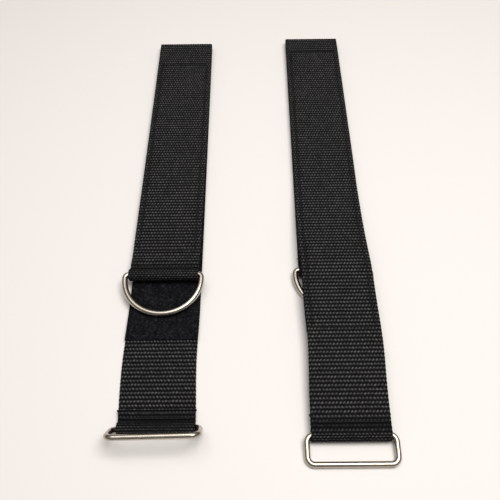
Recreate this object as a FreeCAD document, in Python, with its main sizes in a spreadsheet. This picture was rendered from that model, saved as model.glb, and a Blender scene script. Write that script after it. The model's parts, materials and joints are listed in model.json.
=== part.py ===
"""A pair of ankle cuffs: folded webbing straps with hook-and-loop tape, a strap ring and a D-ring.

Each cuff is one length of 50 mm webbing, folded in half at its far end and pressed shut.
The half with the strap ring carries the pile tape, and the half with the D-ring carries the
hook tape, so that the two tapes meet inside. Cuff A lies with its D-ring half on top. Cuff B
is turned over, so its D-ring half is underneath.

Every strand is drawn from the side: u runs from the strap ring's bar to the fold, and z is up.
"""
import FreeCAD, Part
import math
import os

App = FreeCAD
Vector = App.Vector
doc = App.newDocument("ankle_cuffs")


# ---------------------------------------------------------------- driving dimensions, in mm
SIZES = {
    "webbing_width": 50.0,
    "webbing_thickness": 2.0,
    "pile_thickness": 2.2,
    "hook_thickness": 1.2,
    "tape_gap": 0.2,
    "running_gap": 0.3,
    "layer_gap": 0.1,
    "ring_wire": 3.8,
    "ring_outer_width": 59.2,
    "ring_bar_spacing": 17.5,
    "ring_corner": 3.8,
    "ring_loop_gap": 0.5,
    "dee_wire": 4.2,
    "dee_outer_width": 59.0,
    "dee_depth": 30.7,
    "dee_corner": 2.6,
    "dee_loop_gap": 0.5,
    "tab_slope": 70.0,
    "tab_bend": 1.6,
    "tab_reach": 11.0,
    "dee_tab_reach": 12.0,
    "dee_step_angle": 15.0,
    "dee_step_radius": 6.0,
    "tab_seam_reach": 6.6,
    "seam_inset": 4.0,
    "tape_seam_inset": 3.0,
    "thread_width": 0.8,
    "thread_depth": 0.4,
    "cutter_height": 30.0,
    "cutter_margin": 1.0,
    "cuff_spacing": 122.0,
    "far_edge_offset": 6.0,
    "cuff_a_length": 383.0,
    "cuff_a_pile_start": 62.0,
    "cuff_a_pile_end": 365.0,
    "cuff_a_hook_start": 131.0,
    "cuff_a_hook_end": 352.0,
    "cuff_a_dee_bar": 111.0,
    "cuff_a_flap_shift": -1.9,
    "cuff_a_dee_shift": -0.2,
    "cuff_a_ring_tilt": 56.0,
    "cuff_b_length": 394.0,
    "cuff_b_pile_start": 68.0,
    "cuff_b_pile_end": 375.0,
    "cuff_b_hook_start": 141.0,
    "cuff_b_hook_end": 362.0,
    "cuff_b_dee_bar": 121.0,
    "cuff_b_flap_shift": -1.0,
    "cuff_b_dee_shift": -0.2,
    "cuff_b_rise": 2.4,
    "cuff_b_fall": 4.5,
    "cuff_b_hump_radius": 60.0,
}
sheet = doc.addObject("Spreadsheet::Sheet", "Sizes")
for row, (alias, number) in enumerate(SIZES.items(), start=1):
    sheet.set(f"A{row}", alias)
    sheet.set(f"B{row}", str(number))
    sheet.setAlias(f"B{row}", alias)
doc.recompute()


def size(alias):
    """One driving dimension, read back from the sheet."""
    return float(sheet.get(alias))


width = size("webbing_width")
thick = size("webbing_thickness")
pile = size("pile_thickness")
hook = size("hook_thickness")
thread_width = size("thread_width")
thread_depth = size("thread_depth")

# The two halves lie on each other: webbing, pile, hook, webbing.
stack = 2 * thick + pile + hook + size("tape_gap")
fold_radius = (stack - thick) / 2
fold_height = stack / 2

# Each wire runs in a webbing loop with room to turn.
ring_radius = size("ring_wire") / 2
ring_bend = ring_radius + size("ring_loop_gap") + thick / 2
ring_height = ring_bend + thick / 2
dee_radius = size("dee_wire") / 2
dee_bend = dee_radius + size("dee_loop_gap") + thick / 2
dee_loop = dee_bend + thick / 2
cuff_a_dee_height = thick + pile + size("running_gap") + dee_loop
cuff_b_dee_height = dee_loop


def lean(height, reach):
    """Degrees that a ring leans down when its bar is this much higher than its far end."""
    return math.degrees(math.asin(height / reach))


cuff_a_dee_rest = thick + pile + size("tape_gap") + dee_radius
cuff_a_dee_lean = lean(cuff_a_dee_height - cuff_a_dee_rest, size("dee_depth"))
cuff_b_dee_lean = lean(cuff_b_dee_height - dee_radius, size("dee_depth"))
cuff_b_ring_lean = lean(ring_height - ring_radius, size("ring_bar_spacing"))

# The pair is centred on the origin. Cuff B is the longer one and reaches further both ways.
ring_reach = size("ring_bar_spacing") * math.cos(math.radians(cuff_b_ring_lean)) + ring_radius
bar_b = -(size("cuff_b_length") - ring_reach) / 2
bar_a = bar_b + size("cuff_b_length") - size("far_edge_offset") - size("cuff_a_length")
reach_left = size("dee_outer_width") / 2 - size("cuff_a_flap_shift") - size("cuff_a_dee_shift")
reach_right = size("ring_outer_width") / 2
middle = (reach_left - reach_right) / 2
axis_a = middle - size("cuff_spacing") / 2
axis_b = middle + size("cuff_spacing") / 2


# ---------------------------------------------------------------- strands, drawn from the side
class Strand:
    """A line of straight runs and tangent bends in the (u, z) plane, laid like a strap."""

    def __init__(self, u, z, heading):
        self.at = Vector(u, z, 0)
        self.heading = math.radians(heading)
        self.pieces = []

    def run(self, length):
        """Go straight on."""
        step = Vector(math.cos(self.heading), math.sin(self.heading), 0)
        end = self.at + step * length
        self.pieces.append(("line", self.at, end, self.heading))
        self.at = end
        return self

    def run_to(self, u):
        """Go straight on to a place along the strap."""
        return self.run((u - self.at.x) / math.cos(self.heading))

    def bend(self, degrees, radius):
        """Bend to the left, or to the right with negative degrees, and keep the bend's centre."""
        side = math.copysign(1, degrees)
        to_centre = Vector(-math.sin(self.heading), math.cos(self.heading), 0) * side * radius
        centre = self.at + to_centre
        start = self.heading - side * math.pi / 2
        turn = math.radians(degrees)
        self.pieces.append(("arc", centre, radius, start, start + turn, side))
        self.heading += turn
        out = start + turn
        self.at = centre + Vector(math.cos(out), math.sin(out), 0) * radius
        self.centre = centre
        return self

    def slope_run(self, bend_radius):
        """Length of the slanting run that brings a tab from its loop back onto its strand."""
        slope = math.radians(size("tab_slope"))
        drop = bend_radius * (1 + math.cos(slope))
        drop -= size("tab_bend") * (1 - math.cos(slope)) + thick + size("layer_gap")
        return drop / math.sin(slope)

    def tab_then_loop(self, reach, bend_radius, side):
        """The tab's raw end slants off its strand, then wraps the bar."""
        slope = size("tab_slope")
        slant = self.slope_run(bend_radius)
        angle = math.radians(slope)
        used = (bend_radius + size("tab_bend")) * math.sin(angle) + slant * math.cos(angle)
        self.run(reach - used)
        self.bend(-side * slope, size("tab_bend"))
        self.run(slant)
        self.bend(side * (180 + slope), bend_radius)
        return self

    def moved(self, offset):
        """Shift the whole strand."""
        shifted = []
        for piece in self.pieces:
            if piece[0] == "line":
                shifted.append(("line", piece[1] + offset, piece[2] + offset, piece[3]))
            else:
                shifted.append(("arc", piece[1] + offset) + piece[2:])
        self.pieces = shifted
        self.at = self.at + offset
        return self

    def part(self, start, end):
        """The stretch between two places on straight runs, past the loop."""
        picked = []
        for piece in self.pieces:
            if piece[0] == "line" and math.cos(piece[3]) > 0.9:
                low, high = piece[1], piece[2]
                if high.x <= start or low.x >= end:
                    continue
                along = Vector(1, math.tan(piece[3]), 0)
                low = low + along * max(0, start - low.x)
                high = high - along * max(0, high.x - end)
                picked.append(("line", low, high, piece[3]))
            elif piece[0] == "arc" and picked and piece[1].x < end:
                picked.append(piece)
        stretch = Strand(0, 0, 0)
        stretch.pieces = picked
        return stretch


def side_line(strand, offset):
    """The strand's line moved to its left by offset, as sketch geometry, with its two ends."""
    edges = []
    ends = []
    for piece in strand.pieces:
        if piece[0] == "line":
            left = Vector(-math.sin(piece[3]), math.cos(piece[3]), 0) * offset
            edges.append(Part.LineSegment(piece[1] + left, piece[2] + left))
            ends += [piece[1] + left, piece[2] + left]
        else:
            kind, centre, radius, start, end, side = piece
            radius = radius - side * offset
            circle = Part.Circle(centre, Vector(0, 0, 1), radius)
            edges.append(Part.ArcOfCircle(circle, min(start, end), max(start, end)))
            ends += [centre + Vector(math.cos(a), math.sin(a), 0) * radius for a in (start, end)]
    return edges, ends[0], ends[-1]


def band(name, strand, low, high, across, x, y):
    """A strap body: the strand thickened from low to high on its left, padded across its width."""
    body = doc.addObject("PartDesign::Body", name)
    plane = [f for f in body.Origin.OriginFeatures if f.Role == "YZ_Plane"][0]
    sketch = body.newObject("Sketcher::SketchObject", name + "_side")
    sketch.AttachmentSupport = (plane, "")
    sketch.MapMode = "FlatFace"
    low_edges, low_start, low_end = side_line(strand, low)
    high_edges, high_start, high_end = side_line(strand, high)
    caps = [Part.LineSegment(low_start, high_start), Part.LineSegment(low_end, high_end)]
    sketch.addGeometry(low_edges + high_edges + caps, False)
    pad = body.newObject("PartDesign::Pad", name + "_pad")
    pad.Profile = sketch
    pad.SideType = "Symmetric"
    pad.setExpression("Length", across)
    body.Tip = pad
    body.Placement = App.Placement(Vector(x, y, 0), App.Rotation())
    return body


def block(name, start, end, across, low, high, x, y):
    """A flat rectangular block from start to end along the strap."""
    box = doc.addObject("Part::Box", name)
    box.Length = across
    box.Width = end - start
    box.Height = high - low
    box.Placement = App.Placement(Vector(x - across / 2, y + start, low), App.Rotation())
    return box


def tape(name, cuff, kind, low, x, y):
    """A flat hook or pile tape, as wide as the webbing, with its ends and thickness from the sheet."""
    box = doc.addObject("Part::Box", name)
    box.setExpression("Length", "Sizes.webbing_width")
    box.setExpression("Width", f"Sizes.{cuff}_{kind}_end - Sizes.{cuff}_{kind}_start")
    box.setExpression("Height", f"Sizes.{kind}_thickness")
    start = size(f"{cuff}_{kind}_start")
    box.Placement = App.Placement(Vector(x - width / 2, y + start, low), App.Rotation())
    return box


def combine(kind, name, first, second):
    """A cut or a common of two objects."""
    joined = doc.addObject(kind, name)
    joined.Base = first
    joined.Tool = second
    return joined


def box_seam(name, start, end, x, y):
    """The footprint of a seam sewn round a tape: a rectangle of thread, taller than any strap."""
    start = start + size("tape_seam_inset")
    end = end - size("tape_seam_inset")
    across = width - 2 * size("seam_inset")
    margin = size("cutter_margin")
    low, high = -margin, size("cutter_height")
    rim = block(name + "_rim", start, end, across, low, high, x, y)
    start, end, across = start + thread_width, end - thread_width, across - 2 * thread_width
    hole = block(name + "_hole", start, end, across, low - margin, high + margin, x, y)
    return combine("Part::Cut", name + "_footprint", rim, hole)


def cross_seam(name, at, x, y):
    """The footprint of a row of stitches straight across a tab."""
    across = width - 2 * size("seam_inset")
    start, end = at - thread_width / 2, at + thread_width / 2
    low, high = -size("cutter_margin"), size("cutter_height")
    return block(name + "_footprint", start, end, across, low, high, x, y)


def sew(name, strand, side, footprints, x, y):
    """Threads laid flush in one face of a strand: on its left (side 1) or its right (side -1)."""
    seams = []
    for node, footprint in footprints:
        top = thick / 2
        low, high = sorted((side * top, side * (top - thread_depth)))
        skin = band(node + "_skin", strand, low, high, "Sizes.webbing_width", x, y)
        seams.append(combine("Part::Common", node, skin, footprint))
    tools = doc.addObject("Part::Compound", name + "_threads")
    tools.Links = seams
    return seams, tools


# ---------------------------------------------------------------- the rings
def wire_run(name, length, across, x, y, angle):
    """A straight stretch of wire centred on (x, y), turned by an angle from the X axis."""
    rod = doc.addObject("Part::Cylinder", name)
    rod.setExpression("Radius", across + " / 2")
    rod.Height = length
    turned = App.Rotation(Vector(0, 0, 1), angle).multiply(App.Rotation(Vector(0, 1, 0), 90))
    start = turned.multVec(Vector(0, 0, -length / 2))
    rod.Placement = App.Placement(Vector(x, y, 0) + start, turned)
    return rod


def wire_bend(name, radius, across, x, y, start, sweep):
    """A round stretch of wire about (x, y), from a start angle through a sweep."""
    arc = doc.addObject("Part::Torus", name)
    arc.Radius1 = radius
    arc.setExpression("Radius2", across + " / 2")
    arc.Angle3 = sweep
    arc.Placement = App.Placement(Vector(x, y, 0), App.Rotation(Vector(0, 0, 1), start))
    return arc


def strap_ring(name, x, y, z, tilt):
    """A rectangular welded ring. Its bar is on the X axis and its front bar is towards -Y."""
    half = (size("ring_outer_width") - size("ring_wire")) / 2
    depth = size("ring_bar_spacing")
    corner = size("ring_corner")
    wire = "Sizes.ring_wire"
    long_run = 2 * (half - corner)
    short_run = depth - 2 * corner
    pieces = [
        wire_run(name + "_bar", long_run, wire, 0, 0, 0),
        wire_run(name + "_front", long_run, wire, 0, -depth, 0),
        wire_run(name + "_left", short_run, wire, -half, -depth / 2, 90),
        wire_run(name + "_right", short_run, wire, half, -depth / 2, 90),
    ]
    corners = [(1, -corner, 0), (-1, -corner, 90), (-1, corner - depth, 180), (1, corner - depth, 270)]
    for side, across, start in corners:
        centre = side * (half - corner)
        pieces.append(wire_bend(f"{name}_bend_{start}", corner, wire, centre, across, start, 90))
    return place_ring(name, pieces, x, y, z, tilt)


def d_ring(name, x, y, z, tilt):
    """A welded D-ring. Its bar is on the X axis and its round side is towards -Y."""
    bow = (size("dee_outer_width") - size("dee_wire")) / 2
    corner = size("dee_corner")
    centre_depth = size("dee_depth") - bow
    rise = corner - centre_depth
    corner_x = math.sqrt((bow - corner) ** 2 - rise**2)
    lean_in = math.degrees(math.atan2(rise, corner_x))
    wire = "Sizes.dee_wire"
    pieces = [
        wire_run(name + "_bar", 2 * corner_x, wire, 0, 0, 0),
        wire_bend(name + "_right", corner, wire, corner_x, -corner, -lean_in, 90 + lean_in),
        wire_bend(name + "_left", corner, wire, -corner_x, -corner, 90, 90 + lean_in),
        wire_bend(name + "_bow", bow, wire, 0, -centre_depth, 180 + lean_in, 180 - 2 * lean_in),
    ]
    return place_ring(name, pieces, x, y, z, tilt)


def place_ring(name, pieces, x, y, z, tilt):
    """Weld a ring's stretches together and hang it on its bar, tilted up by some degrees."""
    ring = doc.addObject("Part::MultiFuse", name)
    ring.Shapes = pieces
    ring.Placement = App.Placement(Vector(x, y, z), App.Rotation(Vector(1, 0, 0), -tilt))
    return ring


# ---------------------------------------------------------------- cuff A: D-ring half on top
nodes = []
WEBBING_WIDTH = "Sizes.webbing_width"


def fold(name, length, x, y):
    """The U-bend of webbing where the strap is folded in half."""
    bend = Strand(length - fold_height, thick / 2, 0).bend(180, fold_radius)
    return band(name, bend, -thick / 2, thick / 2, WEBBING_WIDTH, x, y)


flap_a = axis_a + size("cuff_a_flap_shift")
fold_a = size("cuff_a_length") - fold_height

# The base half lies on the surface, and its tab is turned back on top.
base = Strand(0, 0, 180).tab_then_loop(size("tab_reach"), ring_bend, 1)
base.moved(Vector(0, ring_height, 0) - base.centre).run_to(fold_a)
tab_height = 1.5 * thick + size("layer_gap")
tab_top = Strand(size("tab_reach"), tab_height, 180).run(size("tab_reach") / 2)
low, high = -thick / 2, thread_depth - thick / 2
tab_skin = band("cuff_a_tab_skin", tab_top, low, high, WEBBING_WIDTH, axis_a, bar_a)
tab_stitches = cross_seam("cuff_a_ring_tab_seam", size("tab_seam_reach"), axis_a, bar_a)
ring_tab_seam = combine("Part::Common", "cuff_a_ring_tab_seam", tab_skin, tab_stitches)
blank = band("cuff_a_base_blank", base, -thick / 2, thick / 2, WEBBING_WIDTH, axis_a, bar_a)
nodes.append(ring_tab_seam)
nodes.append(combine("Part::Cut", "cuff_a_webbing_base", blank, ring_tab_seam))

# The pile tape is sewn round its edge onto the base half.
pile_start, pile_end = size("cuff_a_pile_start"), size("cuff_a_pile_end")
pile_blank = tape("cuff_a_pile_blank", "cuff_a", "pile", thick, axis_a, bar_a)
low, high = thick + pile - thread_depth, thick + pile
pile_skin = block("cuff_a_pile_skin", pile_start, pile_end, width, low, high, axis_a, bar_a)
pile_stitches = box_seam("cuff_a_pile_seam", pile_start, pile_end, axis_a, bar_a)
pile_seam = combine("Part::Common", "cuff_a_pile_seam", pile_skin, pile_stitches)
nodes.append(pile_seam)
nodes.append(combine("Part::Cut", "cuff_a_pile_tape", pile_blank, pile_seam))

# The flap half lies on top, and ends in the D-ring's loop with its tab tucked under. Past the
# tab it steps down onto the hook tape.
dee_a = size("cuff_a_dee_bar")
flap = Strand(0, 0, 180).run(size("dee_tab_reach"))
flap.bend(-(180 + size("tab_slope")), dee_bend)
flap.moved(Vector(dee_a, cuff_a_dee_height, 0) - flap.centre)
flap.run(flap.slope_run(dee_bend)).bend(size("tab_slope"), size("tab_bend"))
step_angle, step_radius = size("dee_step_angle"), size("dee_step_radius")
step_drop = flap.at.y - (stack - thick / 2)
step_run = step_drop - 2 * step_radius * (1 - math.cos(math.radians(step_angle)))
flap.run_to(dee_a + size("dee_tab_reach"))
flap.bend(-step_angle, step_radius)
flap.run(step_run / math.sin(math.radians(step_angle)))
flap.bend(step_angle, step_radius).run_to(fold_a)
flap_strand = flap.part(dee_a + dee_loop, fold_a)
hook_start, hook_end = size("cuff_a_hook_start"), size("cuff_a_hook_end")
hook_stitches = box_seam("cuff_a_hook_seam", hook_start, hook_end, flap_a, bar_a)
tab_place = dee_a + size("tab_seam_reach")
tab_stitches = cross_seam("cuff_a_d_ring_tab_seam", tab_place, flap_a, bar_a)
seams_on = [("cuff_a_hook_seam", hook_stitches), ("cuff_a_d_ring_tab_seam", tab_stitches)]
blank = band("cuff_a_flap_blank", flap, -thick / 2, thick / 2, WEBBING_WIDTH, flap_a, bar_a)
seams, tools = sew("cuff_a_flap", flap_strand, 1, seams_on, flap_a, bar_a)
nodes.extend(seams)
nodes.append(combine("Part::Cut", "cuff_a_webbing_flap", blank, tools))
hook_low = thick + pile + size("tape_gap")
nodes.append(tape("cuff_a_hook_tape", "cuff_a", "hook", hook_low, flap_a, bar_a))
nodes.append(fold("cuff_a_webbing_fold", size("cuff_a_length"), axis_a, bar_a))
nodes.append(strap_ring("cuff_a_strap_ring", axis_a, bar_a, ring_height, size("cuff_a_ring_tilt")))
dee_x = flap_a + size("cuff_a_dee_shift")
nodes.append(d_ring("cuff_a_d_ring", dee_x, bar_a + dee_a, cuff_a_dee_height, -cuff_a_dee_lean))


# ---------------------------------------------------------------- cuff B: turned over
flap_b = axis_b + size("cuff_b_flap_shift")
fold_b = size("cuff_b_length") - fold_height

# The flap half lies on the surface, with the D-ring's tab turned back on top of it.
dee_b = size("cuff_b_dee_bar")
flap = Strand(0, 0, 180).tab_then_loop(size("dee_tab_reach"), dee_bend, 1)
flap.moved(Vector(dee_b, cuff_b_dee_height, 0) - flap.centre).run_to(fold_b)
flap_strand = flap.part(dee_b, fold_b)
hook_start, hook_end = size("cuff_b_hook_start"), size("cuff_b_hook_end")
hook_stitches = box_seam("cuff_b_hook_seam", hook_start, hook_end, flap_b, bar_b)
tab_place = dee_b + size("tab_seam_reach")
tab_stitches = cross_seam("cuff_b_d_ring_tab_seam", tab_place, flap_b, bar_b)
seams_on = [("cuff_b_hook_seam", hook_stitches), ("cuff_b_d_ring_tab_seam", tab_stitches)]
blank = band("cuff_b_flap_blank", flap, -thick / 2, thick / 2, WEBBING_WIDTH, flap_b, bar_b)
seams, tools = sew("cuff_b_flap", flap_strand, -1, seams_on, flap_b, bar_b)
nodes.extend(seams)
nodes.append(combine("Part::Cut", "cuff_b_webbing_flap", blank, tools))
nodes.append(tape("cuff_b_hook_tape", "cuff_b", "hook", thick, flap_b, bar_b))

# The base half rises from the strap ring, over the D-ring's loop, and down to the fold.
rise, fall = size("cuff_b_rise"), size("cuff_b_fall")
hump = size("cuff_b_hump_radius")
base = Strand(0, 0, 180 + rise).tab_then_loop(size("tab_reach"), ring_bend, -1)
base.moved(Vector(0, ring_height, 0) - base.centre)
base.run_to(dee_b - hump * math.sin(math.radians(rise)))
base.bend(-rise - fall, hump)
drop = base.at.y - (stack - thick / 2) - hump * (1 - math.cos(math.radians(fall)))
base.run(drop / math.sin(math.radians(fall))).bend(fall, hump).run_to(fold_b)
base_strand = base.part(size("ring_wire"), fold_b)
pile_start, pile_end = size("cuff_b_pile_start"), size("cuff_b_pile_end")
pile_stitches = box_seam("cuff_b_pile_seam", pile_start, pile_end, axis_b, bar_b)
tab_stitches = cross_seam("cuff_b_ring_tab_seam", size("tab_seam_reach"), axis_b, bar_b)
seams_on = [("cuff_b_pile_seam", pile_stitches), ("cuff_b_ring_tab_seam", tab_stitches)]
blank = band("cuff_b_base_blank", base, -thick / 2, thick / 2, WEBBING_WIDTH, axis_b, bar_b)
seams, tools = sew("cuff_b_base", base_strand, 1, seams_on, axis_b, bar_b)
nodes.extend(seams)
nodes.append(combine("Part::Cut", "cuff_b_webbing_base", blank, tools))
pile_strand = base.part(pile_start, pile_end)
low, high = -thick / 2 - pile, -thick / 2
nodes.append(band("cuff_b_pile_tape", pile_strand, low, high, WEBBING_WIDTH, axis_b, bar_b))
nodes.append(fold("cuff_b_webbing_fold", size("cuff_b_length"), axis_b, bar_b))
nodes.append(strap_ring("cuff_b_strap_ring", axis_b, bar_b, ring_height, -cuff_b_ring_lean))
dee_x = flap_b + size("cuff_b_dee_shift")
nodes.append(d_ring("cuff_b_d_ring", dee_x, bar_b + dee_b, cuff_b_dee_height, -cuff_b_dee_lean))


# ---------------------------------------------------------------- check and write
doc.recompute()
for item in doc.Objects:
    if {"Invalid", "Error"} & set(item.State):
        raise RuntimeError(f"{item.Label} did not build: {item.State}")
os.makedirs("parts", exist_ok=True)
for node in nodes:
    shape = node.Shape
    if shape.isNull() or not shape.isValid() or not shape.Solids:
        raise RuntimeError(f"{node.Label} has no valid shape")
for node in nodes:
    node.Shape.exportStep(f"parts/{node.Label}.step")
    box = node.Shape.BoundBox
    print(
        f"{node.Label:26s} solids {len(node.Shape.Solids):3d}  volume {node.Shape.Volume:9.1f}"
        f"  x {box.XMin:7.2f} {box.XMax:7.2f}  y {box.YMin:7.2f} {box.YMax:7.2f}"
        f"  z {box.ZMin:6.2f} {box.ZMax:6.2f}"
    )
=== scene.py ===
"""A pair of black webbing ankle cuffs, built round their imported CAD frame. Metres throughout."""
import json
import math

import bpy
import numpy as np
from mathutils import Matrix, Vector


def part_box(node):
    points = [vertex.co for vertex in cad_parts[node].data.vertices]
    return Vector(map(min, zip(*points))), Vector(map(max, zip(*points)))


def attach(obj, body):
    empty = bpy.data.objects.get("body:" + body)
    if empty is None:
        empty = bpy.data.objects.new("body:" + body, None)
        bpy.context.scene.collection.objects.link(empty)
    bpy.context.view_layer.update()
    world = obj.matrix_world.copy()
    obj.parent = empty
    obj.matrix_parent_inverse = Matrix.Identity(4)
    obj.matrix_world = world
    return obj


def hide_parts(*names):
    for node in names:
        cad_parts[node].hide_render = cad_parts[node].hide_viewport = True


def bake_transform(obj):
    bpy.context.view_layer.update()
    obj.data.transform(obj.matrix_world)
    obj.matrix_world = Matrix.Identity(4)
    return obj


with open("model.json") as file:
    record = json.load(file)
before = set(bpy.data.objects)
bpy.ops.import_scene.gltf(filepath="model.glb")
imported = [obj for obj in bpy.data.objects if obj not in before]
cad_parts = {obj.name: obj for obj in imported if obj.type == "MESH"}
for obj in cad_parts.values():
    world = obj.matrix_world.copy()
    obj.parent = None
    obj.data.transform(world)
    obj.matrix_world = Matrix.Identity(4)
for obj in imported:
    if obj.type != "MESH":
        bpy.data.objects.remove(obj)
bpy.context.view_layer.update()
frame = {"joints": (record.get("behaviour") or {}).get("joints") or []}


# ---------------------------------------------------------------- the layout of the two cuffs
# Each cuff is one strap folded in half. The frame's joints give its ring bars and its fold, and
# its webbing gives the axis that it lies along. Cuff B is turned over, so its base half is on top.
MM = 0.001
JOINT = {joint["name"]: joint for joint in frame["joints"]}


def pivot(name):
    """A point on a joint's axis."""
    return np.array(JOINT[name]["pos_m"])


def hill(place, middle, reach):
    """A smooth rise to 1 at a middle, which fades over a reach on both sides."""
    return np.exp(-(((place - middle) / reach) ** 2))


class Cuff:
    """Where one cuff's bars, fold and tapes are. Distances along it are from the strap ring's bar."""

    def __init__(self, letter, over, ring_sway, ring_skew, dee_skew):
        self.name = f"cuff_{letter}_"
        self.over, self.ring_sway = over, ring_sway
        self.ring_skew, self.dee_skew = math.radians(ring_skew), math.radians(dee_skew)
        low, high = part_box(self.name + "webbing_base")
        self.axis = (low[0] + high[0]) / 2
        ring = pivot(self.name + "ring_swing")
        dee = pivot(self.name + "d_ring_swing")
        fold = pivot(self.name + "open")
        self.bar, self.ring_z = ring[1], ring[2]
        self.dee, self.dee_z = dee[1] - self.bar, dee[2]
        self.dee_x = dee[0]
        self.fold, self.fold_z = fold[1] - self.bar, fold[2]
        self.drift = sum(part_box(self.name + "webbing_flap")[k][0] for k in (0, 1)) / 2 - self.axis

    def wander(self, u, inner):
        """How the strap sways sideways, and how much wider it lies than flat, at a place in mm."""
        if self.over:
            sway = 1.6 * hill(u, 62, 30) + 0.7 * hill(u, 112, 25) - 0.5 * hill(u, 165, 45)
            return sway * MM * (inner < 0), 0.014 * hill(u, 110, 70) * (inner < 0)
        sway = 1.2 * hill(u, -4, 18) - 0.9 * hill(u, 48, 24)
        return sway * MM, -0.018 * hill(u, 0, 14)

    def reach(self, node):
        """How far along the cuff a node starts and ends."""
        low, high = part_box(self.name + node)
        return low[1] - self.bar, high[1] - self.bar


CUFF_A = Cuff("a", over=False, ring_sway=1.0 * MM, ring_skew=1.1, dee_skew=0)
CUFF_B = Cuff("b", over=True, ring_sway=0, ring_skew=0, dee_skew=-1)


# ---------------------------------------------------------------- the webbing
# Heavy black polypropylene webbing. Its warp yarns come up in short slanted floats, in rows that
# lean one way and then the other. It lies folded in half, each end sewn back round a ring's bar.
WIDTH = 50 * MM
THICK = 2 * MM
LAYER_GAP = 0.1 * MM
ROW = 2.85 * MM
COLUMNS = 22
COLUMN = WIDTH / COLUMNS
FLOAT_HEIGHT = 0.55 * MM
FLOAT_LENGTH = 1.75 * MM
FLOAT_WIDTH = 1.05 * MM
FLOAT_SLANT = math.radians(38)
# Size of the highlight painted on each float's top.
HIGHLIGHT_LENGTH = 0.9 * MM
HIGHLIGHT_WIDTH = 0.55 * MM
UNEVEN_ALONG = 0.25 * MM
UNEVEN_ACROSS = 0.2 * MM
# Width and strength of the fainter highlight painted along each row.
RIB = 0.5 * MM
RIB_HIGHLIGHT = 0.44
RIPPLE = 0.05 * MM
EDGE_ROLL = 0.9 * MM
TAB_SLOPE = math.radians(70)
TAB_BEND = 1.6 * MM
RING_TAB = 12.5 * MM
DEE_TAB = 12 * MM
TAB_SEAM = 6.6 * MM
SEAM_INSET = 4 * MM
TAPE_SEAM_INSET = 3 * MM
SEAM_PULL = 0.4 * MM
STITCH = 3.3 * MM
SEALED = 1.6 * MM
SEAM_REACH = 0.85 * MM
PRESS_REACH = 4.5 * MM
RELIEF_ROWS = 4.3
SELVEDGE = 1 * MM
SELVEDGE_NICK = 0.004
FRAY = 0.035
FRAY_REACH = 1.2 * MM
CURL = np.array([0, 0.04, 0.18, 0.42, 0.7]) * MM
DEE_LOOP = 3.6 * MM
DEE_STEP = math.radians(15)
DEE_STEP_BEND = 6 * MM
HUMP_RISE = math.radians(2.4)
HUMP_FALL = math.radians(4.5)
HUMP_BEND = 60 * MM


def chance(*numbers):
    """A repeatable random number from 0 to 1 for each set of whole numbers."""
    mixed = sum(np.asarray(n) * k for n, k in zip(numbers, (12.9898, 78.233, 37.719)))
    return np.abs(np.sin(mixed) * 43758.5453) % 1.0


def weave(along, across, face):
    """Height from 0 to 1 of the yarn floats, a painted highlight on their tops and along each row, and
    the place on the float.
    """
    best = np.zeros(along.shape)
    place = np.zeros(along.shape + (3,))
    first_row = np.floor(along / ROW)
    for step in (-1, 0, 1):
        row = first_row + step
        odd = np.mod(row, 2)
        lean = np.where(odd > 0, FLOAT_SLANT, -FLOAT_SLANT) * face
        first_column = np.floor(across / COLUMN - 0.5 * odd)
        for side in (0, 1):
            column = first_column + side
            luck = chance(row, column, face)
            down = along - (row + 0.5) * ROW - (luck - 0.5) * UNEVEN_ALONG
            stray = (chance(column, row, face) - 0.5) * UNEVEN_ACROSS
            over = across - (column + 0.5 * odd) * COLUMN - stray
            run = down * np.cos(lean) + over * np.sin(lean)
            off = over * np.cos(lean) - down * np.sin(lean)
            round_it = 1 - (run / FLOAT_LENGTH) ** 2 - (off / FLOAT_WIDTH) ** 2
            height = np.clip(round_it, 0, 1) ** 0.6 * (0.88 + 0.12 * luck)
            win = height > best
            best = np.where(win, height, best)
            for k, value in enumerate((run, off, luck)):
                place[..., k] = np.where(win, value, place[..., k])
    # Painted highlight: a bright spot on each float's top and a fainter band along each row, for the
    # base colour.
    top = hill(place[..., 0], 0, HIGHLIGHT_LENGTH) * hill(place[..., 1], 0, HIGHLIGHT_WIDTH)
    rib_highlight = hill(np.mod(along / ROW, 1) * ROW, 0.6 * ROW, RIB) * (best > 0)
    top = top * (best > 0) * (0.8 + 0.4 * place[..., 2])
    return best, np.maximum(top, RIB_HIGHLIGHT * rib_highlight), place


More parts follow.
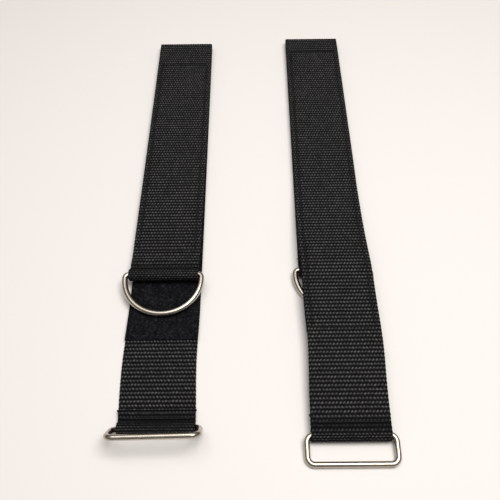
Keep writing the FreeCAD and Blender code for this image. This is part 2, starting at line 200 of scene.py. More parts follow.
class Strand:
    """A strap's centreline seen from the side, as straight runs and tangent bends."""

    def __init__(self, u, z, heading):
        self.at = np.array([u, z])
        self.heading = heading
        self.pieces = []

    def run(self, length):
        way = np.array([math.cos(self.heading), math.sin(self.heading)])
        self.pieces.append(("run", self.at, way, length))
        self.at = self.at + way * length
        return self

    def run_to(self, u):
        return self.run((u - self.at[0]) / math.cos(self.heading))

    def bend(self, turn, radius):
        side = math.copysign(1, turn)
        left = np.array([-math.sin(self.heading), math.cos(self.heading)])
        self.centre = self.at + side * radius * left
        self.pieces.append(("bend", self.centre, (radius, self.heading, side), abs(turn) * radius))
        self.heading += turn
        left = np.array([-math.sin(self.heading), math.cos(self.heading)])
        self.at = self.centre - side * radius * left
        return self

    def slant(self, radius):
        """Length of the slanting run that brings a tab from its loop back onto its strand."""
        drop = radius * (1 + math.cos(TAB_SLOPE)) - TAB_BEND * (1 - math.cos(TAB_SLOPE))
        return (drop - THICK - LAYER_GAP) / math.sin(TAB_SLOPE)

    def loop(self, turn, radius):
        """Wrap the bar, and remember where along the line that is."""
        start = self.length()
        self.bend(turn, radius)
        self.wrap = (start, self.length())
        return self

    def tab_then_loop(self, reach, radius, side):
        """The tab slants off its strand, then wraps the bar."""
        used = (radius + TAB_BEND) * math.sin(TAB_SLOPE) + self.slant(radius) * math.cos(TAB_SLOPE)
        self.run(reach - used).bend(-side * TAB_SLOPE, TAB_BEND)
        return self.run(self.slant(radius)).loop(side * (math.pi + TAB_SLOPE), radius)

    def loop_then_slant(self, reach, radius, side):
        """The tab runs straight to the bar, and the strand comes down onto it from the loop."""
        self.run(reach).loop(side * (math.pi + TAB_SLOPE), radius)
        centre = self.centre
        self.run(self.slant(radius)).bend(-side * TAB_SLOPE, TAB_BEND)
        self.centre = centre
        return self

    def moved(self, to):
        """Put the loop's centre at a point."""
        shift = np.array(to) - self.centre
        self.pieces = [(piece[0], piece[1] + shift) + piece[2:] for piece in self.pieces]
        self.at = self.at + shift
        return self

    def length(self):
        return sum(piece[3] for piece in self.pieces)

    def sample(self, places):
        """Points, and the directions to their left, at distances along the line."""
        points = np.zeros((len(places), 2))
        lefts = np.zeros((len(places), 2))
        start = 0.0
        for kind, origin, shape, length in self.pieces:
            here = (places >= start - 1e-9) & (places <= start + length + 1e-9)
            gone = places[here] - start
            if kind == "run":
                points[here] = origin + shape * gone[:, None]
                lefts[here] = (-shape[1], shape[0])
            else:
                radius, heading, side = shape
                angle = heading + side * gone / radius
                left = np.stack([-np.sin(angle), np.cos(angle)], 1)
                points[here] = origin - side * radius * left
                lefts[here] = left
            start += length
        return points, lefts


class Half:
    """One stretch of webbing: its line, the side that faces inwards, and how it wanders."""

    def __init__(self, cuff, line, inner, drift=0.0):
        self.cuff, self.line, self.inner, self.drift = cuff, line, inner, drift
        self.length = line.length()
        self.seams = []
        self.shown = 1
        fine = np.linspace(0, self.length, 8000)
        points, _ = line.sample(fine)
        first = np.argmin(points[:, 0]) if hasattr(line, "wrap") else 0
        self.main_u, self.main_s = points[first:, 0], fine[first:]

    def at(self, u):
        """Distance along the line of a place on the cuff, on the stretch past the loop."""
        return np.interp(u, self.main_u, self.main_s)

    def place(self, along, across, lift):
        """Points in space: along the line, across the strap, and lifted off its middle."""
        shape = np.broadcast(along, across, lift).shape
        along, across, lift = (np.broadcast_to(v, shape).ravel() for v in (along, across, lift))
        points, lefts = self.line.sample(np.clip(along, 0, self.length))
        spare = np.clip(along - self.length, 0, None) + np.clip(along, None, 0)
        u = points[:, 0]
        free = np.clip((self.cuff.fold - u) / (self.cuff.fold - self.cuff.dee), 0, 1.05)
        sway, spread = self.cuff.wander(u / MM, self.inner)
        calm = np.clip(np.sin(np.clip(free, 0, 1) * math.pi), 0, 1)
        wave = np.sin(u / MM / 17 + across / MM / 21) + 0.6 * np.sin(u / MM / 9.1 - across / MM / 13)
        lift = lift + RIPPLE * calm * wave
        out = np.empty((len(u), 3))
        out[:, 0] = self.cuff.axis + across * (1 + spread) + sway + self.drift * free**1.3
        out[:, 1] = self.cuff.bar + u + lefts[:, 0] * lift + lefts[:, 1] * spare
        out[:, 2] = points[:, 1] + lefts[:, 1] * lift - lefts[:, 0] * spare
        return out.reshape(shape + (3,))

    def pull(self, along, across):
        """How much each seam draws the webbing in at a place, from 0 to 1."""
        points, _ = self.line.sample(along[:, 0])
        u = points[:, :1]
        drawn = np.zeros(np.broadcast(along, across).shape)
        side = WIDTH / 2 - SEAM_INSET
        for start, end in self.seams:
            inside = (u > start - 0.5 * MM) & (u < end + 0.5 * MM)
            ends = np.minimum(np.abs(u - start), np.abs(u - end)) + 0 * across
            ends = np.where(np.abs(across) < side + 0.5 * MM, ends, 1)
            gap = np.minimum(np.where(inside, np.abs(np.abs(across) - side), 1), ends)
            drawn = np.maximum(drawn, hill(gap, 0, SEAM_REACH))
        return drawn * (0.8 + 0.2 * np.cos(2 * math.pi * (u + across) / STITCH))

    def pressed(self, along):
        """How far the sewing of the end tab presses the weave flat, from 0 to 1; it also dims the
        painted highlight there.
        """
        points, _ = self.line.sample(along)
        return 0.55 * hill(points[:, 0], self.seams[1][0] - 2 * MM, PRESS_REACH)


def piece_from(name, points, faces, finish):
    """A smooth mesh object from its points and its faces."""
    mesh = bpy.data.meshes.new(name)
    mesh.from_pydata(np.reshape(points, (-1, 3)).tolist(), [], faces)
    mesh.polygons.foreach_set("use_smooth", np.ones(len(mesh.polygons), bool))
    mesh.materials.append(finish.material)
    piece = bpy.data.objects.new(name, mesh)
    bpy.context.scene.collection.objects.link(piece)
    return piece


def carry(piece, name, values):
    """Store a number, or a vector, at each point of a mesh for its material."""
    vector = values.shape[-1] == 3
    kind, field = ("FLOAT_VECTOR", "vector") if vector else ("FLOAT", "value")
    layer = piece.data.attributes.new(name, kind, "POINT")
    layer.data.foreach_set(field, np.ascontiguousarray(values, dtype=np.float32).ravel())


def tube_faces(rows, columns):
    """Faces of a grid whose rows are closed rings, with its two ends closed."""
    grid = np.arange(rows * columns).reshape(rows, columns)
    side = np.roll(grid, -1, axis=1)
    faces = np.stack([grid[:-1], side[:-1], side[1:], grid[1:]], -1).reshape(-1, 4).tolist()
    return faces + [grid[0][::-1].tolist(), grid[-1].tolist()]


class Value:
    """A socket, so that a material's maths reads as plain expressions."""

    def __init__(self, nodes, socket):
        self.nodes, self.socket = nodes, socket

    def maths(self, operation, *values):
        return self.nodes.node("ShaderNodeMath", {"operation": operation}, dict(enumerate(values)))

    def __add__(self, other):
        return self.maths("ADD", self, other)

    def __sub__(self, other):
        return self.maths("SUBTRACT", self, other)

    def __rsub__(self, other):
        return self.maths("SUBTRACT", other, self)

    def __mul__(self, other):
        return self.maths("MULTIPLY", self, other)

    def __pow__(self, other):
        return self.maths("POWER", self, other)

    __radd__ = __add__
    __rmul__ = __mul__


class Nodes:
    """A tree of shader nodes, cleared of what it starts with."""

    def __init__(self, owner):
        owner.use_nodes = True
        self.tree = owner.node_tree
        self.tree.nodes.clear()

    def node(self, kind, settings, sockets, output=0):
        """Add a node: its settings first, then the values or links of its sockets."""
        node = self.tree.nodes.new(kind)
        for name, value in settings.items():
            setattr(node, name, value)
        for socket, value in sockets.items():
            if isinstance(value, Value):
                self.tree.links.new(value.socket, node.inputs[socket])
            else:
                node.inputs[socket].default_value = value
        return Value(self, node.outputs[output]) if node.outputs else None

    def blend(self, share, first, second):
        """A colour between two colours."""
        settings = {"data_type": "RGBA", "clamp_factor": True}
        return self.node("ShaderNodeMix", settings, {"Factor": share, 6: first, 7: second}, 2)


class Finish(Nodes):
    """One material: a Principled shader, whose even numbers are set on its own sockets."""

    def __init__(self, name, **numbers):
        self.material = bpy.data.materials.new(name)
        super().__init__(self.material)
        even = {socket.replace("_", " "): number for socket, number in numbers.items()}
        self.shader = self.node("ShaderNodeBsdfPrincipled", {}, even)
        self.node("ShaderNodeOutputMaterial", {}, {"Surface": self.shader})

    def feed(self, socket, value):
        """Link a value that varies over the surface to the shader."""
        self.tree.links.new(value.socket, self.shader.socket.node.inputs[socket])

    def attribute(self, name, output="Fac"):
        """A value or vector that the mesh carries."""
        return self.node("ShaderNodeAttribute", {"attribute_name": name}, {}, output)

    def place(self):
        """The point on the object that is being shaded."""
        return self.node("ShaderNodeTexCoord", {}, {}, "Object")

    def noise(self, where, scale, detail=2.0, stretch=(1, 1, 1)):
        """Soft noise over a vector, stretched by three factors."""
        spread = self.node("ShaderNodeVectorMath", {"operation": "MULTIPLY"}, {0: where, 1: stretch})
        return self.node("ShaderNodeTexNoise", {}, {"Vector": spread, "Scale": scale, "Detail": detail})

    def bump(self, height, depth, strength=1.0):
        """Fine relief in metres of height, on top of the mesh's own."""
        sockets = {"Height": height, "Distance": depth, "Strength": strength}
        self.feed("Normal", self.node("ShaderNodeBump", {}, sockets))


# Painted highlight: the float tops carry it as an attribute, and it lifts the near-black colour towards
# grey there; fibre and cloud noise vary it.
webbing = Finish("black_webbing", Specular_IOR_Level=0.07)
crown = webbing.attribute("crown")
yarn = webbing.attribute("yarn", "Vector")
filaments = webbing.noise(yarn, 1400.0, 2.0, (0.1, 2.4, 1.0))
clouds = webbing.noise(webbing.place(), 45.0, 3.0)
painted_shine = (0.004 + crown**1.9) * (0.3 + 1.1 * filaments) * (0.75 + 0.5 * clouds)
webbing.feed("Base Color", webbing.blend(painted_shine, (0.001, 0.001, 0.0012, 1), (0.18, 0.178, 0.182, 1)))
webbing.feed("Roughness", 0.7 - 0.22 * crown + 0.1 * clouds)
webbing.bump(filaments, 0.00008, 0.6)


def weave_mesh(name, half, pattern_at, taped=None):
    """A length of webbing, with its floats as relief on both faces, rolled edges and sealed ends."""
    wrap = getattr(half.line, "wrap", (0, 0))
    fine = np.linspace(0, half.length, 4000)
    drawn = fine + np.clip(fine, *wrap)
    rows = int(round((drawn[-1] - drawn[0]) / (ROW / RELIEF_ROWS))) + 1
    along = np.interp(np.linspace(drawn[0], drawn[-1], rows), drawn, fine)
    pattern = pattern_at(half.length + wrap[1] - along - np.clip(along, *wrap))
    rim = WIDTH / 2 - CURL
    strips = []
    for side in (-half.inner, half.inner):
        fineness = 4 if side == half.shown else 2
        middle = np.linspace(-WIDTH / 2 + EDGE_ROLL, WIDTH / 2 - EDGE_ROLL, fineness * COLUMNS)
        across = np.concatenate([-rim, middle, rim[::-1]])
        edge = np.clip((np.abs(across) - (WIDTH / 2 - EDGE_ROLL)) / EDGE_ROLL, 0, 1)
        face = 1 if side == half.inner else -1
        spread = (pattern[:, None] + 0 * across, across + 0 * along[:, None])
        height, top, yarn_place = weave(*spread, face)
        if taped and side == half.inner:
            start, end = (half.at(u) for u in taped)
            height = height * ((along < start) | (along > end))[:, None]
        pull = half.pull(along[:, None], across)
        flare = 1.0
        # top is the painted highlight: it is dimmed where the tab seam presses the weave, towards the
        # sealed end and along the seams, so these parts read darker.
        if taped:
            calm = ((1 - half.pressed(along)) * np.clip(along / SEALED, 0, 1))[:, None]
            height, top = height * calm**0.5, top * calm
            flare = (1 + FRAY * hill(along, 0, FRAY_REACH))[:, None]
        height, top = height * (1 - 0.6 * pull), top * (1 - 0.5 * pull)
        level = THICK / 2 - FLOAT_HEIGHT * (1 - height) - SEAM_PULL * pull
        notches = (1 - np.cos(2 * math.pi * pattern / ROW))[:, None]
        nick = 1 - SELVEDGE_NICK * notches * (np.abs(across) > WIDTH / 2 - SELVEDGE)
        lift = side * level * np.sqrt(1 - edge**2)
        points = half.place(along[:, None], across * nick * flare, lift)
        strips.append((points, top, yarn_place))
    joined = [np.concatenate([outer, inner[:, -2:0:-1]], axis=1) for outer, inner in zip(*strips)]
    piece = piece_from(name, joined[0], tube_faces(rows, joined[0].shape[1]), webbing)
    # The painted highlight goes to the material as a point attribute.
    carry(piece, "crown", joined[1])
    carry(piece, "yarn", joined[2])
    return piece


def halves(cuff):
    """The lower and the upper half of one cuff, as lines."""
    ring_bend = cuff.ring_z - THICK / 2
    top = 2 * cuff.fold_z - THICK / 2
    if cuff.over:
        lower = Strand(0, 0, math.pi).tab_then_loop(DEE_TAB, cuff.dee_z - THICK / 2, 1)
        lower.moved((cuff.dee, cuff.dee_z)).run_to(cuff.fold)
        upper = Strand(0, 0, math.pi + HUMP_RISE).tab_then_loop(RING_TAB, ring_bend, -1)
        upper.moved((0, cuff.ring_z)).run_to(cuff.dee - HUMP_BEND * math.sin(HUMP_RISE))
        upper.bend(-HUMP_RISE - HUMP_FALL, HUMP_BEND)
        drop = upper.at[1] - top - HUMP_BEND * (1 - math.cos(HUMP_FALL))
        upper.run(drop / math.sin(HUMP_FALL)).bend(HUMP_FALL, HUMP_BEND).run_to(cuff.fold)
        return lower, upper
    lower = Strand(0, 0, math.pi).tab_then_loop(RING_TAB, ring_bend, 1)
    lower.moved((0, cuff.ring_z)).run_to(cuff.fold)
    upper = Strand(0, 0, math.pi).loop_then_slant(DEE_TAB, DEE_LOOP, -1)
    upper.moved((cuff.dee, cuff.dee_z)).run_to(cuff.dee + DEE_TAB)
    drop = upper.at[1] - top - 2 * DEE_STEP_BEND * (1 - math.cos(DEE_STEP))
    upper.bend(-DEE_STEP, DEE_STEP_BEND).run(drop / math.sin(DEE_STEP)).bend(DEE_STEP, DEE_STEP_BEND)
    upper.run_to(cuff.fold)
    return lower, upper


for cuff in (CUFF_A, CUFF_B):
    lower, upper = halves(cuff)
    turn = Strand(cuff.fold, THICK / 2, 0).bend(math.pi, cuff.fold_z - THICK / 2)
    drifts = (cuff.drift, 0) if cuff.over else (0, cuff.drift)
    low_half, high_half = Half(cuff, lower, 1, drifts[0]), Half(cuff, upper, -1, drifts[1])
    cuff.base, cuff.flap = (high_half, low_half) if cuff.over else (low_half, high_half)
    fold_half = Half(cuff, turn, 1)
    fold_half.shown = -1
    for part, half, kind, tab in (
        ("base", cuff.base, "pile", TAB_SEAM),
        ("flap", cuff.flap, "hook", cuff.dee + TAB_SEAM),
    ):
        start, end = cuff.reach(kind + "_tape")
        half.tape = (start, end)
        half.seams = [(start + TAPE_SEAM_INSET, end - TAPE_SEAM_INSET), (tab, tab)]
        if half is low_half:
            cloth = weave_mesh(f"{cuff.name}{part}_strap", half, lambda left: -left, half.tape)
        else:
            past = fold_half.length
            cloth = weave_mesh(f"{cuff.name}{part}_strap", half, lambda left: past + left, half.tape)
        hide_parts(f"{cuff.name}webbing_{part}")
        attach(cloth, cuff.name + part)
    turned = weave_mesh(cuff.name + "fold_strap", fold_half, lambda left: fold_half.length - left)
    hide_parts(cuff.name + "webbing_fold")
    y = cuff.bar + cuff.fold
    start, end = (cuff.axis, y, THICK), (cuff.axis, y, 2 * cuff.fold_z - THICK)
    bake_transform(turned)


# ---------------------------------------------------------------- pile tape
# Black brushed loop tape with a flat woven edge, sewn round its border inside the base half.
# Its pile is a mat of fine nylon loops, raised and tangled.
TAPE_STEP = 0.8 * MM
TAPE_PULL = 0.35 * MM
PILE_EDGE = 2 * MM
PILE_BACK = 0.9 * MM
PILE_MAT = 1.55 * MM
PILE_BORDER = 0.8 * MM
LOOPS, LOOP_STEPS = 7600, 5
LOOP_WIRE = 0.07 * MM
LOOP_ROOT = 0.1 * MM
LOOP_REACH = (0.25 * MM, 0.6 * MM)
LOOP_RISE = (0.35 * MM, 0.62 * MM)


def fibres(name, paths, ups, radius, finish, ends=0.6):
    """Many fine threads as one mesh, each along its own row of points."""
    count, steps, _ = paths.shape
    ways = np.gradient(paths, axis=1)
    ways /= np.linalg.norm(ways, axis=2, keepdims=True)
    sides = np.cross(ways, ups[:, None, :])
    sides /= np.linalg.norm(sides, axis=2, keepdims=True) + 1e-12
    lifts = np.cross(sides, ways)
    taper = np.full(steps, 1.0)
    taper[[0, -1]] = ends
    rings = []
    for angle in (0.5, 2.6, 4.7):
        spoke = math.cos(angle) * sides + math.sin(angle) * lifts
        rings.append(paths + radius * taper[None, :, None] * spoke)
    points = np.stack(rings, axis=2)
    index = np.arange(count * steps * 3).reshape(count, steps, 3)
    beside = np.roll(index, -1, axis=2)
    faces = np.stack([index[:, :-1], beside[:, :-1], beside[:, 1:], index[:, 1:]], -1)
    return piece_from(name, points, faces.reshape(-1, 4).tolist(), finish)


def scattered(seed, count, low, high):
    """Repeatable random numbers between two limits."""
    return np.random.default_rng(seed).uniform(low, high, count)


def mat(name, half, low, high, edge, roughness, finish, seed):
    """A tape's body: a backing with thinner woven edges and an uneven face."""
    start, end = half.tape
    along = half.at(np.arange(start, end + TAPE_STEP / 2, TAPE_STEP))
    middle = np.linspace(-WIDTH / 2 + edge, WIDTH / 2 - edge, 58)
    rim = np.array([-WIDTH / 2, -WIDTH / 2 + 0.3 * MM, -WIDTH / 2 + edge - 0.3 * MM])
    across = np.concatenate([rim, middle, -rim[::-1]])
    level = np.full((len(along), len(across)), high)
    level += np.random.default_rng(seed).normal(0, roughness, level.shape)
    level[:, :3] = level[:, -3:] = low + 0.75 * (high - low)
    level[[0, 1, -1, -2]] -= 0.2 * (high - low)
    level -= TAPE_PULL * half.pull(along[:, None], across)
    base = THICK / 2
    top = half.place(along[:, None], across, half.inner * (base + level))
    foot = half.place(along[:, None], across[[0, -1]], half.inner * (base + 0.05 * MM))
    points = np.concatenate([top, foot[:, 1:], foot[:, :1]], axis=1)
    return piece_from(name, points, tube_faces(len(along), points.shape[1]), finish)


pile = Finish("black_pile", Specular_IOR_Level=0.08)
tufts = pile.noise(pile.place(), 700.0, 4.0)
patches = pile.noise(pile.place(), 150.0, 3.0)
fleck = (tufts * 1.4) ** 4.0 * patches + pile.attribute("luck") * patches
pile.feed("Base Color", pile.blend(fleck, (0.0008, 0.001, 0.0016, 1), (0.042, 0.045, 0.052, 1)))
pile.feed("Roughness", 0.75 + 0.2 * tufts)
pile.bump(tufts, 0.0006, 0.8)

for cuff, seed in ((CUFF_A, 11), (CUFF_B, 12)):
    half = cuff.base
    body = mat(cuff.name + "pile_mat", half, PILE_BACK, PILE_MAT, PILE_EDGE, 0.1 * MM, pile, seed)
    start, end = half.tape
    foot = half.at(scattered(seed, LOOPS, start + PILE_BORDER, end - PILE_BORDER))
    side = scattered(seed + 20, LOOPS, -WIDTH / 2 + PILE_EDGE, WIDTH / 2 - PILE_EDGE)
    turn = scattered(seed + 40, LOOPS, 0, math.pi)
    reach = scattered(seed + 60, LOOPS, *LOOP_REACH)
    tall = scattered(seed + 80, LOOPS, *LOOP_RISE)
    swing = np.linspace(0, math.pi, LOOP_STEPS)
    out = -reach[:, None] * np.cos(swing)
    rise = THICK / 2 + PILE_MAT - LOOP_ROOT + tall[:, None] * np.sin(swing)
    loops = half.place(
        foot[:, None] + out * np.cos(turn)[:, None],
        side[:, None] + out * np.sin(turn)[:, None],
        half.inner * rise,
    )
    up = np.tile([[0.1, 0.2, 1.0]], (LOOPS, 1))
    loops = fibres(cuff.name + "pile_loops", loops, up, LOOP_WIRE, pile)
    carry(loops, "luck", np.repeat(scattered(seed + 100, LOOPS, 0, 1) ** 3, LOOP_STEPS * 3))
    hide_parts(cuff.name + "pile_tape")
    for piece in (body, loops):
        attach(piece, cuff.name + "base")
    end - start


# ---------------------------------------------------------------- hook tape
# Black nylon hooks moulded in rows on a stiff backing with flat woven edges. It is sewn round
# its border inside the flap, where it faces the pile.
HOOK_WOVEN = 0.35 * MM
HOOK_BACK = 0.5 * MM
HOOK_BORDER = 0.8 * MM
HOOK_WIRE = 0.11 * MM
HOOK_PITCH = 1.6 * MM
HOOK_OUT = np.array([0, 0, 0.1, 0.38, 0.42]) * MM
HOOK_RISE = np.array([0.4, 0.8, 1.1, 1.05, 0.82]) * MM
HOOK_LEAN = 0.08

nylon = Finish("black_hook", Specular_IOR_Level=0.5)
grain = nylon.noise(nylon.place(), 900.0, 3.0)
nylon.feed("Base Color", nylon.blend(grain, (0.006, 0.006, 0.007, 1), (0.018, 0.018, 0.02, 1)))
nylon.feed("Roughness", 0.35 + 0.25 * grain)
nylon.bump(grain, 0.0001, 0.6)

for cuff, seed in ((CUFF_A, 13), (CUFF_B, 14)):
    half = cuff.flap
    body = mat(cuff.name + "hook_back", half, HOOK_WOVEN, HOOK_BACK, PILE_EDGE, 0.02 * MM, nylon, seed)
    start, end = half.tape
    rows = np.arange(start + HOOK_PITCH, end - HOOK_PITCH, HOOK_PITCH)
    lanes = np.arange(-WIDTH / 2 + PILE_EDGE + HOOK_BORDER, WIDTH / 2 - PILE_EDGE, HOOK_PITCH)
    foot, lane = (grid.ravel() for grid in np.meshgrid(half.at(rows), lanes, indexing="ij"))
    way = np.where(np.round(lane / HOOK_PITCH) % 2 > 0, 1, -1)[:, None]
    lean = scattered(seed, len(foot), -HOOK_LEAN, HOOK_LEAN)[:, None] * HOOK_RISE
    lift = half.inner * (THICK / 2 + HOOK_RISE)
    hooks = half.place(foot[:, None] + way * HOOK_OUT, lane[:, None] + lean, lift)
    side = np.tile([[1.0, 0.0, 0.0]], (len(foot), 1))
    hooks = fibres(cuff.name + "hooks", hooks, side, HOOK_WIRE, nylon, 0.8)
    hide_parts(cuff.name + "hook_tape")
    for piece in (body, hooks):
        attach(piece, cuff.name + "flap")
    end - start


# ---------------------------------------------------------------- seams
# Rows of lock stitches in thick bonded black thread, drawn down into the webbing: a box round
# each tape, and a row across each tab. They show on the webbing and on the tape behind it.
THREAD = 0.36 * MM
STITCH_SHARE = np.array([0.04, 0.12, 0.3, 0.5, 0.7, 0.88, 0.96])
STITCH_RISE = np.array([-0.45, -0.1, 0.12, 0.18, 0.12, -0.1, -0.45]) * MM
BOBBIN_SINK = 0.45 * MM

thread = Finish("black_thread", Specular_IOR_Level=0.15)
twist = thread.noise(thread.place(), 1500.0, 1.0)
thread.feed("Base Color", thread.blend(twist, (0.003, 0.003, 0.0035, 1), (0.03, 0.03, 0.031, 1)))
thread.feed("Roughness", 0.38 + 0.2 * twist)
thread.bump(twist, 0.00008, 0.7)


def stitch_line(start, end):
    """Stitches from one corner to another, as the places of their two ends."""
    start, end = np.array(start), np.array(end)
    count = max(1, int(round(np.linalg.norm(end - start) / STITCH)))
    knots = start + (end - start) * np.linspace(0, 1, count + 1)[:, None]
    return np.stack([knots[:-1], knots[1:]], axis=1)


def sewn(name, half, lines, side, floor, finish):
    """Lock stitches on one face of a half, along lines of (place on the cuff, across)."""
    ends = np.concatenate([stitch_line(*line) for line in lines])
    spots = ends[:, :1] + (ends[:, 1:] - ends[:, :1]) * STITCH_SHARE[None, :, None]
    lift = side * (floor + STITCH_RISE)[None, :]
    paths = half.place(half.at(spots[..., 0]), spots[..., 1], lift)
    up = np.tile([[0.0, 0.0, 1.0]], (len(ends), 1))
    return fibres(name, paths, up, THREAD, finish, 0.7)


def box_lines(start, end):
    """The four sides of a box seam."""
    side = WIDTH / 2 - SEAM_INSET
    corners = [(start, -side), (start, side), (end, side), (end, -side), (start, -side)]
    return list(zip(corners[:-1], corners[1:]))


for cuff in (CUFF_A, CUFF_B):
    for part, half, kind, bar, level in (
        ("base", cuff.base, "pile", "ring", PILE_MAT),
        ("flap", cuff.flap, "hook", "d_ring", HOOK_BACK),
    ):
        box, tab = half.seams
        across = WIDTH / 2 - SEAM_INSET
        outer = THICK / 2 - FLOAT_HEIGHT / 2 - SEAM_PULL / 2
        shown = sewn(f"{cuff.name}{kind}_stitches", half, box_lines(*box), -half.inner, outer, thread)
        sunk = THICK / 2 + level - BOBBIN_SINK
        name = f"{cuff.name}{kind}_bobbin_stitches"
        tape_side = sewn(name, half, box_lines(*box), half.inner, sunk, thread)
        row = [((tab[0], -across), (tab[1], across))]
        tab_in = part == "base" and not cuff.over
        side = half.inner if tab_in else -half.inner
        floor = THICK + LAYER_GAP + outer if tab_in else outer
        tab_row = sewn(f"{cuff.name}{bar}_tab_stitches", half, row, side, floor, thread)
        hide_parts(f"{cuff.name}{kind}_seam")
        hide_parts(f"{cuff.name}{bar}_tab_seam")
        for piece in (shown, tape_side, tab_row):
            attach(piece, cuff.name + part)


# ---------------------------------------------------------------- strap rings
# Rectangular rings of nickel-plated steel wire, bent round and butt-welded in the bar that the
# webbing hides. The plating is polished, with fine rubbing marks.
RING_WIRE = 1.9 * MM
RING_CORNER = 4.6 * MM
WELD = 0.9 * MM
WELD_BULGE = 0.05
WIRE_WEAR = 0.006
RING_STEPS = 640
WIRE_SIDES = 36

nickel = Finish("nickel_plate", Metallic=1.0)
haze = nickel.noise(nickel.place(), 160.0, 3.0)
rubs = nickel.noise(nickel.place(), 900.0, 2.0, (0.15, 1.0, 1.0))
nickel.feed("Base Color", nickel.blend(haze, (0.4, 0.35, 0.29, 1), (0.56, 0.52, 0.45, 1)))
nickel.feed("Roughness", 0.23 + 0.12 * haze * rubs)
nickel.bump(rubs, 0.000004, 0.02)


def rounded(corners, radius, steps=24):
    """A closed line round some corners in the plane, with each corner rounded by an arc."""
    line = []
    count = len(corners)
    for k in range(count):
        here = np.array(corners[k])
        before, after = np.array(corners[k - 1]), np.array(corners[(k + 1) % count])
        into, out = (here - before), (after - here)
        into, out = into / np.linalg.norm(into), out / np.linalg.norm(out)
        bisect = (out - into) / np.linalg.norm(out - into)
        centre = here + bisect * radius * math.sqrt(2)
        for t in np.linspace(0, math.pi / 2, steps):
            line.append(centre - radius * (math.cos(t) * out + math.sin(t) * -into))
    return np.array(line)


def ring_piece(name, line, wire, bar, front, skew, finish):
    """A closed wire along a line (x, distance in front of the bar), hung a little askew on its bar."""
    spread = np.concatenate([line, line[:1]])
    gone = np.concatenate([[0], np.cumsum(np.linalg.norm(np.diff(spread, axis=0), axis=1))])
    places = np.linspace(0, gone[-1], RING_STEPS + 1)[:-1]
    flat = np.stack([np.interp(places, gone, spread[:, k]) for k in (0, 1)], 1)
    way = (front - bar) / np.linalg.norm(front - bar)
    across = np.array([1.0, 0.0, 0.0])
    normal = np.cross(across, way)
    centre = bar + flat[:, :1] * across + flat[:, 1:] * way
    heading = np.roll(centre, -1, 0) - np.roll(centre, 1, 0)
    heading /= np.linalg.norm(heading, axis=1, keepdims=True)
    out = np.cross(heading, normal)
    angles = np.linspace(0, 2 * math.pi, WIRE_SIDES + 1)[:-1]
    weld = hill(flat[:, 0], 0, WELD) * (flat[:, 1] < wire)
    rubbed = WIRE_WEAR * np.sin(places / MM / 3.1) * np.sin(places / MM / 1.7)
    worn = 1 + rubbed + WELD_BULGE * weld
    spokes = np.cos(angles)[None, :, None] * out[:, None] + np.sin(angles)[None, :, None] * normal
    points = centre[:, None] + wire * worn[:, None, None] * spokes - bar
    cos, sin = math.cos(skew), math.sin(skew)
    points = bar + points @ np.array([[cos, sin, 0], [-sin, cos, 0], [0, 0, 1]])
    index = np.arange(RING_STEPS * WIRE_SIDES).reshape(-1, WIRE_SIDES)
    ahead, beside = np.roll(index, -1, 0), np.roll(index, -1, 1)
    faces = np.stack([index, ahead, np.roll(ahead, -1, 1), beside], -1).reshape(-1, 4)
    return piece_from(name, points, faces.tolist(), finish)


for cuff in (CUFF_A, CUFF_B):
    low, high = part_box(cuff.name + "strap_ring")
    half_width = (high[0] - low[0]) / 2 - RING_WIRE
    bar = np.array([(low[0] + high[0]) / 2, cuff.bar, cuff.ring_z])
    lifted = high[2] > 2 * cuff.ring_z
    front = np.array([bar[0], low[1] + RING_WIRE, high[2] - RING_WIRE if lifted else low[2] + RING_WIRE])
    depth = np.linalg.norm(front - bar)
    corners = [(-half_width, 0), (half_width, 0), (half_width, depth), (-half_width, depth)]
    line = rounded(corners, RING_CORNER) + (cuff.ring_sway, 0)
    ring = ring_piece(cuff.name + "ring", line, RING_WIRE, bar, front, cuff.ring_skew, nickel)
    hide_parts(cuff.name + "strap_ring")
    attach(ring, cuff.name + "ring")


# ---------------------------------------------------------------- D-rings
# D-rings of thicker nickel-plated wire, welded in their straight bar, each in the flap's end
# loop. Cuff A's lies on the pile, and cuff B's on the table under the strap.
DEE_WIRE = 2.1 * MM
DEE_CORNER = 2.6 * MM

for cuff in (CUFF_A, CUFF_B):
    low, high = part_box(cuff.name + "d_ring")
    bow = (high[0] - low[0]) / 2 - DEE_WIRE
    bar = np.array([cuff.dee_x, cuff.bar + cuff.dee, cuff.dee_z])
    front = np.array([cuff.dee_x, low[1] + DEE_WIRE, low[2] + DEE_WIRE])
    centre = np.linalg.norm(front - bar) - bow
    rise = DEE_CORNER - centre
    corner_x = math.sqrt((bow - DEE_CORNER) ** 2 - rise**2)
    lean_in = math.atan2(rise, corner_x)
    turn = np.linspace(math.pi / 2, -lean_in, 24)[:, None]
    right = np.array([corner_x, DEE_CORNER]) + DEE_CORNER * np.hstack([np.cos(turn), -np.sin(turn)])
    sweep = np.linspace(lean_in, math.pi - lean_in, 400)[:, None]
    arc = np.array([0, centre]) + bow * np.hstack([np.cos(sweep), np.sin(sweep)])
    left = right[::-1] * (-1, 1)
    line = np.concatenate([right, arc[1:-1], left])
    ring = ring_piece(cuff.name + "dee", line, DEE_WIRE, bar, front, cuff.dee_skew, nickel)
    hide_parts(cuff.name + "d_ring")
    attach(ring, cuff.name + "d_ring")


# ---------------------------------------------------------------- stage, light and camera
# A plain pale table that is much wider than the cuffs, in a dim room. One large soft light hangs
# over it from the right and a weaker one from the left, and it is seen from above the rings' end.
TABLE = 12

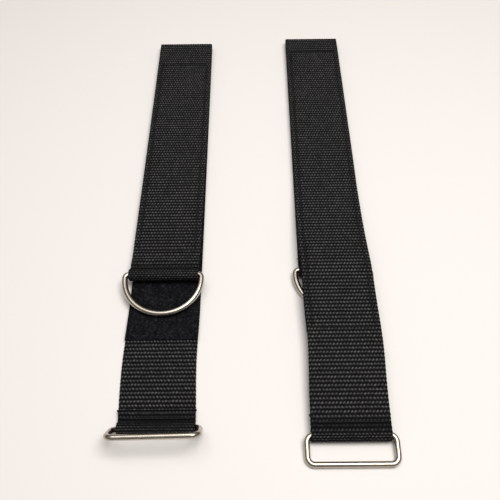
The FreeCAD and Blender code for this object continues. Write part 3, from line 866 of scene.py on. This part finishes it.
table = Finish("pale_table", Roughness=0.6, Base_Color=(0.86, 0.83, 0.81, 1))
plane = bpy.data.meshes.new("table")
corners = [(x * TABLE, y * TABLE, 0) for x, y in ((-1, -1), (1, -1), (1, 1), (-1, 1))]
plane.from_pydata(corners, [], [(0, 1, 2, 3)])
plane.materials.append(table.material)
ground = bpy.data.objects.new("table", plane)
bpy.context.scene.collection.objects.link(ground)

WALLS = (0.04, 0.034, 0.03, 1)
CEILING = (0.36, 0.345, 0.33, 1)
WALL_TOP, CEILING_START = 0.1, 0.8

world = bpy.data.worlds.new("room")
room = Nodes(world)
way_out = room.node("ShaderNodeTexCoord", {}, {}, "Generated")
steepness = room.node("ShaderNodeSeparateXYZ", {}, {0: way_out}, "Z")
share = (steepness - WALL_TOP) * (1 / (CEILING_START - WALL_TOP))
air = room.node("ShaderNodeBackground", {}, {"Color": room.blend(share, WALLS, CEILING)})
room.node("ShaderNodeOutputWorld", {}, {"Surface": air})
bpy.context.scene.world = world
bpy.context.scene.view_settings.view_transform = "Standard"


def soft_light(name, place, target, size, power, tint):
    """A square soft light that faces a point."""
    lamp = bpy.data.lights.new(name, "AREA")
    lamp.shape, lamp.size, lamp.energy, lamp.color = "SQUARE", size, power, tint
    light = bpy.data.objects.new(name, lamp)
    light.location = place
    aim = np.array(target) - np.array(place)
    light.rotation_euler = (
        math.acos(-aim[2] / np.linalg.norm(aim)),
        0,
        math.atan2(aim[1], aim[0]) - math.pi / 2,
    )
    bpy.context.scene.collection.objects.link(light)


soft_light("key", (0.32, -0.1, 1.15), (0, 0, 0), 0.65, 10.5, (1.0, 0.978, 0.95))
soft_light("fill", (-0.24, 0.1, 1.1), (0, 0, 0), 0.7, 3.1, (1.0, 0.978, 0.96))

LENS = 43.8
EYE = (0.0019, -0.3102, 0.3771)
TURN, TILT, ROLL = (math.radians(angle) for angle in (0.31, 35.21, -0.85))

lens = bpy.data.cameras.new("view")
lens.lens, lens.sensor_width = LENS, 36
camera = bpy.data.objects.new("view", lens)
camera.matrix_world = (
    Matrix.Translation(EYE)
    @ Matrix.Rotation(TURN, 4, "Z")
    @ Matrix.Rotation(TILT, 4, "X")
    @ Matrix.Rotation(ROLL, 4, "Z")
)
bpy.context.scene.collection.objects.link(camera)
bpy.context.scene.camera = camera

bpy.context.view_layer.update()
